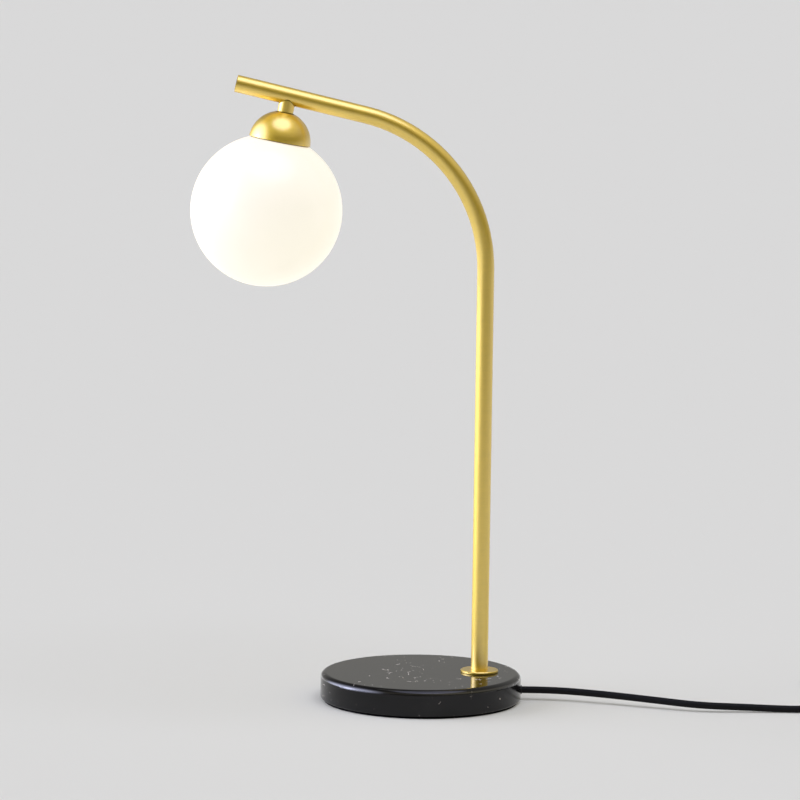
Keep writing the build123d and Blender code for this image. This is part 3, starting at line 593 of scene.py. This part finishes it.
def marble_veins(finish, stone, bent, gather, band):
    """Broken hair veins, along the seams between long cells."""
    long = finish.stretched(bent, LONG_VEINS)
    seams = finish.cells(long, stone.vein_size, feature="DISTANCE_TO_EDGE")
    patch = finish.noise(finish.place(), size=0.006, detail=3.0, roughness=0.6)
    thin = 1.0 - seams.between(*VEIN_EDGE)
    broken = (patch + band * BAND_UNBROKEN).between(*VEIN_PATCHES)
    return thin * broken * (gather + band * BAND_GATHERS).between(*VEIN_GATHERS)


def marble_rim(finish, stone):
    """1 where the rounded rim is waxed, on its lower part, and 0 elsewhere."""
    height = finish.split(finish.place())[2]
    starts = [STONE_HIGH.z - part * stone.rim_height for part in WAX_STARTS]
    ends = [STONE_HIGH.z - part * stone.rim_height for part in WAX_ENDS]
    return height.between(*starts) * (1.0 - height.between(*ends))


def black_marble(stone):
    """Polished black marble: faint clouds, cream flecks and a few short hair veins."""
    finish = new_finish("black_marble")
    place = finish.place()
    warp = finish.noise(place, size=0.00625, output="Color")
    offset = finish.vectors("SUBTRACT", warp, (0.5, 0.5, 0.5))
    bent = finish.vectors("ADD", place, finish.stretched(offset, (stone.warp,) * 3))

    gather = finish.noise(place, size=0.034, detail=1.0)
    middle = [squeeze * at for squeeze, at in zip(BAND_SQUEEZE, stone.band_at)]
    squeezed = finish.stretched(place, BAND_SQUEEZE)
    band = 1.0 - finish.distance(squeezed, middle).between(*BAND_EDGE)
    flecks = marble_flecks(finish, stone, bent, gather, band)
    veins = marble_veins(finish, stone, bent, gather, band)

    clouds = finish.noise(place, size=0.025, detail=5.0, roughness=0.6)
    ground = finish.mix(clouds.between(0.35, 0.75), stone.ground, stone.cloud)
    pale = (flecks * 0.9).at_least(veins * 0.95).at_most(1.0)
    dust = finish.noise(place, size=0.010, detail=4.0, roughness=0.6)
    edge = [STONE_HIGH.z - depth for depth in HONED_EDGE]
    honed = 1.0 - finish.split(place)[2].between(*edge)
    polish = stone.polish + dust.between(0.3, 0.8) * 0.035
    return finish.surface(
        base_color=finish.mix(pale, ground, stone.fleck),
        roughness=polish + honed * stone.edge_roughness,
        ior=stone.ior,
        coat_weight=marble_rim(finish, stone) * stone.rim_gloss,
        coat_roughness=stone.rim_roughness,
        coat_ior=stone.rim_ior,
        normal=finish.bump(clouds, depth=0.0000015),
    )


LIT_BELOW = (CAP_RIM - 0.0001, CAP_RIM + 0.0004)  # from the painted shade under the cap to the lit glow, down from the arm's axis


def opal_glass(globe):
    """Lit opal glass: an even warm glow under a smooth skin, with painted shade above the cap's
    rim.
    """
    finish = new_finish("opal_glass")
    place = finish.place()
    streaks = finish.noise(finish.stretched(place, (1.0, 1.0, 0.5)), size=0.060)
    streak = streaks.between(0.3, 0.7)
    seeds = finish.noise(place, size=0.0015, detail=1.0)
    # Painted shade: above the cap's rim the glow and the glass colour dim to the shaded ones.
    lit = below_arm(finish).between(*LIT_BELOW)
    glow = globe.glow
    shine = finish.mix(lit, globe.shaded, finish.mix(streak, scaled(0.975, glow), glow))
    glass = globe.glass
    body = finish.mix(streak, scaled(0.985, glass), glass)
    return finish.surface(
        base_color=finish.mix(lit, globe.shaded_glass, body),
        roughness=0.30 + (seeds - 0.5) * 0.04,
        emission_color=shine,
        emission_strength=1.0,
        coat_weight=0.1,
        coat_roughness=0.2,
        normal=finish.bump(streaks, depth=0.00005),
    )


def jacket(soft):
    """Jacket of the cord: smooth, with a fine grain and scuffs."""
    finish = new_finish("cord_jacket")
    place = finish.place()
    scuff = finish.noise(place, size=0.006, detail=4.0, roughness=0.6)
    grain = finish.noise(place, size=0.0005)
    base = soft.cord_colour
    shade = finish.mix(scuff.between(0.5, 0.85), base, scaled(2.2, base))
    return finish.surface(
        base_color=shade,
        roughness=0.58 + (scuff - 0.5) * 0.16,
        specular_ior_level=0.14,
        normal=finish.bump(grain, depth=0.00002),
    )


def felt_pad(soft):
    """Black felt under the stone: matt, with a short nap."""
    finish = new_finish("felt_pad")
    place = finish.place()
    nap = finish.noise(place, size=0.0004, detail=4.0, roughness=0.7)
    base = soft.felt_colour
    return finish.surface(
        base_color=finish.mix(nap.between(0.35, 0.75), base, scaled(1.8, base)),
        roughness=0.95,
        specular_ior_level=0.05,
        normal=finish.bump(nap, depth=0.00015),
    )


MOULDINGS = {  # roughness, and depth of the grain in metres
    "end_plug": (0.5, 0.00002),
    "silicone_seal": (0.45, 0.00002),
    "bulb_plastic": (0.4, 0.00001),
    "bushing_rubber": (0.55, 0.00002),
    "wire_sheath": (0.45, 0.00001),
    "switch_shell": (0.42, 0.00003),
    "rocker_gloss": (0.22, 0.000004),
    "tie_plastic": (0.5, 0.00001),
    "plug_plastic": (0.4, 0.00003),
    "sleeve_plastic": (0.35, 0.00001),
}


def moulded(name, base):
    """Moulded plastic or rubber with a fine spark-eroded grain."""
    roughness, grain_depth = MOULDINGS[name]
    finish = new_finish(name)
    place = finish.place()
    grain = finish.noise(place, size=0.00045, detail=3.0, roughness=0.6)
    handling = finish.noise(place, size=0.012, detail=4.0, roughness=0.6)
    shade = finish.mix(handling.between(0.35, 0.8), base, brighter(1.35, base))
    return finish.surface(
        base_color=shade,
        roughness=roughness + (handling - 0.5) * 0.10,
        specular_ior_level=0.3,
        normal=finish.bump(grain, grain_depth),
    )


def fired_ceramic(soft):
    """Unglazed steatite: matt, a little speckled."""
    finish = new_finish("fired_ceramic")
    place = finish.place()
    speck = finish.noise(place, size=0.0009, detail=3.0, roughness=0.7)
    tone = finish.noise(place, size=0.012, detail=3.0)
    base = soft.ceramic_colour
    out_of_joint_shade = finish.mix(tone.between(0.3, 0.8), base, scaled(0.93, base))
    shade = finish.mix(speck.between(0.66, 0.78) * 0.4, out_of_joint_shade, soft.speck_colour)
    return finish.surface(
        base_color=shade, roughness=0.55, normal=finish.bump(speck, depth=0.00001)
    )


COVER_GLOW = ((0.95, 0.83, 0.66), (1.0, 0.9, 0.74))  # of its dimmer and brighter spots
POST_WHITE = (0.85, 0.85, 0.82)
SOURCE_YELLOW = ((0.85, 0.55, 0.08), (0.95, 0.68, 0.14))
SOURCE_PITCH = 0.0046  # between the rows of light sources, in metres


def frosted_cover(soft):
    """The bulb's frosted cover, faintly lit from inside."""
    finish = new_finish("frosted_cover")
    place = finish.place()
    frost = finish.noise(place, size=0.0006, detail=3.0, roughness=0.6)
    base = soft.bulb_colour
    shade = finish.mix(frost.between(0.3, 0.7), base, scaled(0.95, base))
    glow = finish.mix(frost.between(0.2, 0.8), *COVER_GLOW)
    return finish.surface(
        base_color=shade,
        roughness=0.5,
        emission_color=glow,
        emission_strength=0.9,
        normal=finish.bump(frost, depth=0.00001),
    )


def phosphor_post():
    """White post with rows of yellow light sources."""
    finish = new_finish("phosphor_post")
    height = finish.split(finish.place())[2]
    rows = (height * (2 * math.pi / SOURCE_PITCH)).sine().between(0.1, 0.5)
    mottle = finish.noise(finish.place(), size=0.001)
    sources = finish.mix(mottle.between(0.3, 0.7), *SOURCE_YELLOW)
    return finish.surface(base_color=finish.mix(rows, POST_WHITE, sources), roughness=0.5)


def dress(names, material):
    """Gives CAD pieces a finish."""
    for name in names:
        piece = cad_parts[name]
        piece.data.materials.clear()
        piece.data.materials.append(material)


# -------------------------------------------------- stage
WHITE = (1.0, 1.0, 1.0)
BLACK = (0.0, 0.0, 0.0)
ORIGIN = (0.0, 0.0, 0.0)
SENSOR_WIDTH = 36.0  # millimetres

# How far out polished pieces see the floor change, in metres from the base's axis
SEEN_FROM = (0.35, 0.6)
SEEN_LEFT = (0.4, 1.6)
SEEN_FRONT = (0.9, 2.4)

# Where the surroundings change, in parts of a direction of length 1
FRONT_TO_BACK = (-0.6, 0.6)
ABOVE_TABLE = (-0.01, 0.08)
LOW_TO_HIGH = (0.12, 0.55)
LEFT_TO_RIGHT = (-0.2, 0.9)
WARMTH_LOST_BEHIND = 0.8


def toward_sky(turn, height):
    """The direction at a turn from straight in front, so high above the table."""
    flat = math.cos(height)
    return Vector((math.sin(turn) * flat, -math.cos(turn) * flat, math.sin(height)))


def camera_axes(stage):
    """Right, up and back directions of the camera."""
    turn, pitch, roll = stage.camera_turn, stage.camera_pitch, stage.camera_roll
    back = toward_sky(turn, pitch)
    level = Vector((math.cos(turn), math.sin(turn), 0.0))
    upright = back.cross(level)
    right = level * math.cos(roll) + upright * math.sin(roll)
    up = upright * math.cos(roll) - level * math.sin(roll)
    return right, up, back


def add_camera(stage):
    right, up, back = camera_axes(stage)
    turn = stage.camera_turn
    across = stage.aim_across
    aim = Vector((math.cos(turn) * across, math.sin(turn) * across, stage.aim_height))
    data = bpy.data.cameras.new("camera")
    data.lens = stage.camera_lens
    data.sensor_width = SENSOR_WIDTH
    data.clip_end = 4 * stage.floor_half
    camera = bpy.data.objects.new("camera", data)
    camera.matrix_world = Matrix.Translation(aim + back * stage.camera_distance) @ Matrix((
        (right.x, up.x, back.x, 0.0),
        (right.y, up.y, back.y, 0.0),
        (right.z, up.z, back.z, 0.0),
        (0.0, 0.0, 0.0, 1.0),
    ))
    bpy.context.scene.collection.objects.link(camera)
    bpy.context.scene.camera = camera


def add_floor(stage):
    """The table: plain, but for polished pieces lighter on the left and darker in front."""
    half = stage.floor_half
    mesh = bpy.data.meshes.new("floor")
    corners = [(-half, -half, 0), (half, -half, 0), (half, half, 0), (-half, half, 0)]
    mesh.from_pydata(corners, [], [(0, 1, 2, 3)])
    floor = bpy.data.objects.new("floor", mesh)
    bpy.context.scene.collection.objects.link(floor)
    finish = new_finish("pale_floor")
    matt = {"roughness": 1.0, "specular_ior_level": 0.0}
    plain = finish.shader(
        base_color=stage.floor_colour,
        emission_color=WHITE,
        emission_strength=stage.floor_lift,
        **matt,
    )
    x, y = finish.split(finish.place())[:2]
    left = (0.0 - x).between(*SEEN_LEFT) * stage.floor_left + stage.horizon_light
    tone = left * (1.0 - (0.0 - y).between(*SEEN_FRONT) * stage.floor_front)
    seen = finish.shader(
        base_color=BLACK,
        emission_color=finish.join(tone, tone, tone),
        emission_strength=1.0,
        **matt,
    )
    glossy = finish.node("ShaderNodeLightPath", output="Is Glossy Ray")
    away = finish.distance(finish.place(), ORIGIN).between(*SEEN_FROM)
    both = finish.node("ShaderNodeMixShader", values={0: glossy * away, 1: plain, 2: seen})
    mesh.materials.append(finish.show(both))


def add_soft_light(name, power, spread, tint, direction):
    """A wide light far away, so that it is even over the whole table."""
    data = bpy.data.lights.new(name, "SUN")
    data.energy = power
    data.angle = spread
    data.color = tint
    light = bpy.data.objects.new(name, data)
    light.rotation_mode = "QUATERNION"
    light.rotation_quaternion = direction.to_track_quat("Z", "Y")
    light.location = direction * 2  # its icon, 2 m away. A sun's place changes nothing
    bpy.context.scene.collection.objects.link(light)


def add_surroundings(stage):
    """A pale horizon, darker upwards and towards the viewer, and a soft light on the left."""
    world = bpy.data.worlds.new("surroundings")
    bpy.context.scene.world = world
    finish = Finish(world)
    place = finish.node("ShaderNodeTexCoord", output="Generated")
    x, y, z = finish.split(place)
    behind = y.between(*FRONT_TO_BACK)
    near = behind * stage.back_light + (1.0 - behind) * stage.front_light
    low = z.between(*ABOVE_TABLE)
    high = z.between(*LOW_TO_HIGH)
    upper = x.between(*LEFT_TO_RIGHT) * stage.right_light + stage.upper_light
    level = (1.0 - low) * stage.horizon_light + low * ((1.0 - high) * near + high * upper)
    warmth = low * (1.0 - behind * WARMTH_LOST_BEHIND)
    shade = finish.mix(warmth, WHITE, stage.warm)
    shade = finish.stretched(shade, finish.join(level, level, level))

    middle = toward_sky(stage.camera_turn - stage.key_turn, stage.key_height)
    toward = finish.along(place, middle)
    wide = toward.between(math.cos(stage.key_reach), 1.0) * stage.key_light
    glow = wide + toward.between(math.cos(stage.core_reach), 1.0) * stage.key_core
    light = finish.stretched(finish.join(glow, glow, glow), stage.cool)
    shade = finish.vectors("ADD", shade, light)
    background = finish.node("ShaderNodeBackground", values={"Color": shade, "Strength": 1.0})
    finish.node("ShaderNodeOutputWorld", values={"Surface": background})


# -------------------------------------------------- cord
SWITCH_AT = Vector((0.362, -0.052, 0.0076))  # its middle, on the cord's axis
SWITCH_TURN = math.radians(8.0)
PLUG_ENTRY = Vector((0.3955, 0.0486, 0.00685))  # where the cord goes into the plug
PLUG_TURN = math.radians(172.0)
SWITCH_IN = 0.025  # from the switch's middle to the cord inside its end
SWITCH_OUT = 0.043  # from the switch's middle to where the cord may bend
PLUG_IN = 0.005  # how far the cord reaches into the plug
PLUG_OUT = 0.014  # from the plug's end to where the cord may bend
COIL_START = Vector((0.449, -0.0445, 0.00375))
COIL_LEAD = 0.022  # straight cord on the way out of the coil
COIL_TURN_R = 0.0381  # radius of the first half turn
COIL_PITCH = 0.0061  # from turn to turn, and from layer to layer
COIL_HALVES = 7  # half turns in each layer
COIL_STEPS = 8  # control points in a half turn


def on_switch(distance):
    """A point on the cord's axis through the switch."""
    return SWITCH_AT + Vector((math.cos(SWITCH_TURN), math.sin(SWITCH_TURN), 0.0)) * distance


def coil_points(diameter):
    """Control points of the two-layer coil: inwards on the table, a climb, outwards on top."""
    inward = [COIL_TURN_R - k * COIL_PITCH / 2 for k in range(COIL_HALVES)]
    radii = inward + [inward[-1] - COIL_PITCH / 2] + inward[::-1]
    spot = COIL_START + Vector((diameter, 0.0, 0.0))
    points = []
    step = math.pi / COIL_STEPS
    for k, radius in enumerate(radii):
        side = 1 if k % 2 == 0 else -1
        climb = COIL_PITCH if k == COIL_HALVES else 0.0
        reach = math.hypot(radius, climb / 2)
        centre = spot + Vector((0.0, side * radius, climb / 2))
        for i in range(COIL_STEPS):
            turn = (i + 0.5) * step
            out = reach / math.cos(step / 2)
            points.append(centre + Vector((
                side * out * math.sin(turn),
                -side * out * math.cos(turn) * radius / reach,
                -climb / 2 * math.cos(turn),
            )))
        spot = spot + Vector((0.0, side * 2 * radius, climb))
    return points, spot


def cord_route(soft):
    """The whole cord's control points, from inside the base to the plug."""
    diameter = soft.cord_diameter
    run = [
        Vector((0.064, 0.0, 0.0081)),
        Vector((0.101, 0.0, 0.0081)),
        Vector((0.142, -0.0175, 0.0078)),
        Vector((0.182, -0.0375, 0.0067)),
        Vector((0.217, -0.054, 0.0053)),
        Vector((0.254, -0.0545, 0.0039)),
        Vector((0.281, -0.0565, 0.0029)),
        Vector((0.301, -0.0585, 0.0028)),
        on_switch(-SWITCH_OUT),
        on_switch(-SWITCH_IN),
    ]
    link = [
        on_switch(SWITCH_IN),
        on_switch(SWITCH_OUT),
        Vector((0.427, COIL_START.y, COIL_START.z)),
        COIL_START,
    ]
    coil, last = coil_points(diameter)
    ahead = Vector((math.cos(PLUG_TURN), math.sin(PLUG_TURN), 0.0))
    tail = [
        last - Vector((diameter, 0.0, 0.0)),
        last - Vector((COIL_LEAD - diameter, 0.0, 0.0)),
        PLUG_ENTRY - ahead * PLUG_OUT,
        PLUG_ENTRY + ahead * PLUG_IN,
    ]
    return run + link + coil + tail


def mains_cord(soft):
    """One round cord on one smooth line."""
    route = cord_route(soft)
    data = bpy.data.curves.new("mains_cord", "CURVE")
    data.dimensions = "3D"
    data.bevel_depth = soft.cord_diameter / 2
    data.bevel_resolution = 6
    data.resolution_u = 10
    data.use_fill_caps = True
    spline = data.splines.new("NURBS")
    spline.points.add(len(route) - 1)
    for point, place in zip(spline.points, route):
        point.co = (*place, 1.0)
    spline.order_u = 3
    spline.use_endpoint_u = True
    data.materials.append(jacket(soft))
    cord = bpy.data.objects.new("mains_cord", data)
    bpy.context.scene.collection.objects.link(cord)
    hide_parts("cord_run", "cord_link", "cord_coil", "cord_tail")
    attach(cord, "lamp")


# -------------------------------------------------- operators
class LAMP_OT_stage(bpy.types.Operator):
    """Camera, floor, surroundings and soft lights"""

    bl_idname = "lamp.stage"
    bl_label = "Stage"

    def execute(self, context):
        stage = context.scene.lamp_stage
        add_camera(stage)
        add_floor(stage)
        add_surroundings(stage)
        overhead = toward_sky(stage.camera_turn + stage.top_turn, stage.top_height)
        add_soft_light("top_light", stage.top_power, stage.top_spread, stage.cool, overhead)
        return {"FINISHED"}


class LAMP_OT_cord(bpy.types.Operator):
    """The mains cord, from the base through the switch and the coil to the plug"""

    bl_idname = "lamp.cord"
    bl_label = "Mains cord"

    def execute(self, context):
        mains_cord(context.scene.lamp_soft)
        return {"FINISHED"}


class LAMP_OT_base(bpy.types.Operator):
    """Polished stone disc and the pad beneath it"""

    bl_idname = "lamp.base"
    bl_label = "Stone base"

    def execute(self, context):
        dress(["marble_base"], black_marble(context.scene.lamp_stone))
        dress(["base_pad"], felt_pad(context.scene.lamp_soft))
        return {"FINISHED"}


class LAMP_OT_stem(bpy.types.Operator):
    """Bent tube, its end plug and its foot flange"""

    bl_idname = "lamp.stem"
    bl_label = "Stem and arm"

    def execute(self, context):
        metal = context.scene.lamp_metal
        dress(["stem_tube"], satin_brass("satin_brass_tube", tube_lines, metal))
        dress(["tube_end_cap"], moulded("end_plug", metal.plug_colour))
        dress(["stem_flange"], satin_brass("satin_brass_flange", flange_lines, metal))
        return {"FINISHED"}


class LAMP_OT_head(bpy.types.Operator):
    """Turned neck, domed cap and the threaded parts inside it"""

    bl_idname = "lamp.head"
    bl_label = "Head"

    def execute(self, context):
        metal = context.scene.lamp_metal
        brass = satin_brass("satin_brass_head", head_lines, metal)
        dress(["head_connector", "dome_cap"], brass)
        dress(["head_nipple"], turned_brass(metal))
        dress(["gallery_spacer", "gallery_cup", "gallery_nut"], zinc_steel(metal))
        return {"FINISHED"}


class LAMP_OT_globe(bpy.types.Operator):
    """Opal glass globe and its sealing ring"""

    bl_idname = "lamp.globe"
    bl_label = "Globe"

    def execute(self, context):
        dress(["globe_glass"], opal_glass(context.scene.lamp_globe))
        soft = context.scene.lamp_soft
        dress(["globe_gasket"], moulded("silicone_seal", soft.silicone_colour))
        return {"FINISHED"}


class LAMP_OT_lampholder(bpy.types.Operator):
    """Threaded disc, screws and ceramic body that carry the bulb"""

    bl_idname = "lamp.lampholder"
    bl_label = "Lampholder"

    def execute(self, context):
        steel = zinc_steel(context.scene.lamp_metal)
        dress(["lampholder_cap", "lampholder_screws"], steel)
        dress(["lampholder_body"], fired_ceramic(context.scene.lamp_soft))
        return {"FINISHED"}


class LAMP_OT_bulb(bpy.types.Operator):
    """Two-pin bulb: base, pins, cover and the post inside"""

    bl_idname = "lamp.bulb"
    bl_label = "Bulb"

    def execute(self, context):
        soft = context.scene.lamp_soft
        dress(["bulb_base"], moulded("bulb_plastic", soft.bulb_base_colour))
        dress(["bulb_pins"], bright_nickel(context.scene.lamp_metal))
        dress(["bulb_cover"], frosted_cover(soft))
        dress(["bulb_post"], phosphor_post())
        return {"FINISHED"}


class LAMP_OT_fixings(bpy.types.Operator):
    """Threaded tube, washers, nut, wires and the cord's bushing in the foot"""

    bl_idname = "lamp.fixings"
    bl_label = "Foot fixings"

    def execute(self, context):
        metal = context.scene.lamp_metal
        soft = context.scene.lamp_soft
        dress(["foot_insert", "foot_nipple"], turned_brass(metal))
        dress(["foot_washer", "foot_lock_washer", "foot_nut"], zinc_steel(metal))
        dress(["cord_bushing"], moulded("bushing_rubber", soft.rubber_colour))
        dress(["inner_cores"], moulded("wire_sheath", soft.sheath_colour))
        return {"FINISHED"}


class LAMP_OT_switch(bpy.types.Operator):
    """Inline switch: two shells, rocker, terminals and screws, and the coil's tie"""

    bl_idname = "lamp.switch"
    bl_label = "Switch and tie"

    def execute(self, context):
        metal = context.scene.lamp_metal
        soft = context.scene.lamp_soft
        shell = moulded("switch_shell", soft.moulded_colour)
        dress(["switch_lower", "switch_upper"], shell)
        dress(["switch_rocker"], moulded("rocker_gloss", soft.moulded_colour))
        dress(["switch_contacts"], turned_brass(metal))
        dress(["switch_screws"], zinc_steel(metal))
        dress(["coil_tie"], moulded("tie_plastic", soft.moulded_colour))
        return {"FINISHED"}


class LAMP_OT_plug(bpy.types.Operator):
    """Moulded plug, its pins and their sleeves"""

    bl_idname = "lamp.plug"
    bl_label = "Plug"

    def execute(self, context):
        soft = context.scene.lamp_soft
        dress(["plug_body"], moulded("plug_plastic", soft.moulded_colour))
        dress(["plug_pins"], bright_nickel(context.scene.lamp_metal))
        dress(["plug_sleeves"], moulded("sleeve_plastic", soft.moulded_colour))
        return {"FINISHED"}


PIECES = (
    LAMP_OT_stage,
    LAMP_OT_cord,
    LAMP_OT_base,
    LAMP_OT_stem,
    LAMP_OT_head,
    LAMP_OT_globe,
    LAMP_OT_lampholder,
    LAMP_OT_bulb,
    LAMP_OT_fixings,
    LAMP_OT_switch,
    LAMP_OT_plug,
)


class LAMP_PT_panel(bpy.types.Panel):
    """Lists the lamp's pieces in the sidebar"""

    bl_idname = "LAMP_PT_panel"
    bl_label = "Globe table lamp"
    bl_space_type = "VIEW_3D"
    bl_region_type = "UI"
    bl_category = "Lamp"

    def draw(self, context):
        for piece in PIECES:
            self.layout.operator(piece.bl_idname)


def register():
    for group in SETTINGS.values():
        bpy.utils.register_class(group)
    for name, group in SETTINGS.items():
        setattr(bpy.types.Scene, name, bpy.props.PointerProperty(type=group))
    for piece in (*PIECES, LAMP_PT_panel):
        bpy.utils.register_class(piece)


def unregister():
    for piece in (LAMP_PT_panel, *reversed(PIECES)):
        bpy.utils.unregister_class(piece)
    for name, group in SETTINGS.items():
        delattr(bpy.types.Scene, name)
        bpy.utils.unregister_class(group)


def main():
    register()
    bpy.context.scene.view_settings.view_transform = "Standard"
    for piece in PIECES:
        group, name = piece.bl_idname.split(".")
        getattr(getattr(bpy.ops, group), name)()


if __name__ == "__main__":
    main()
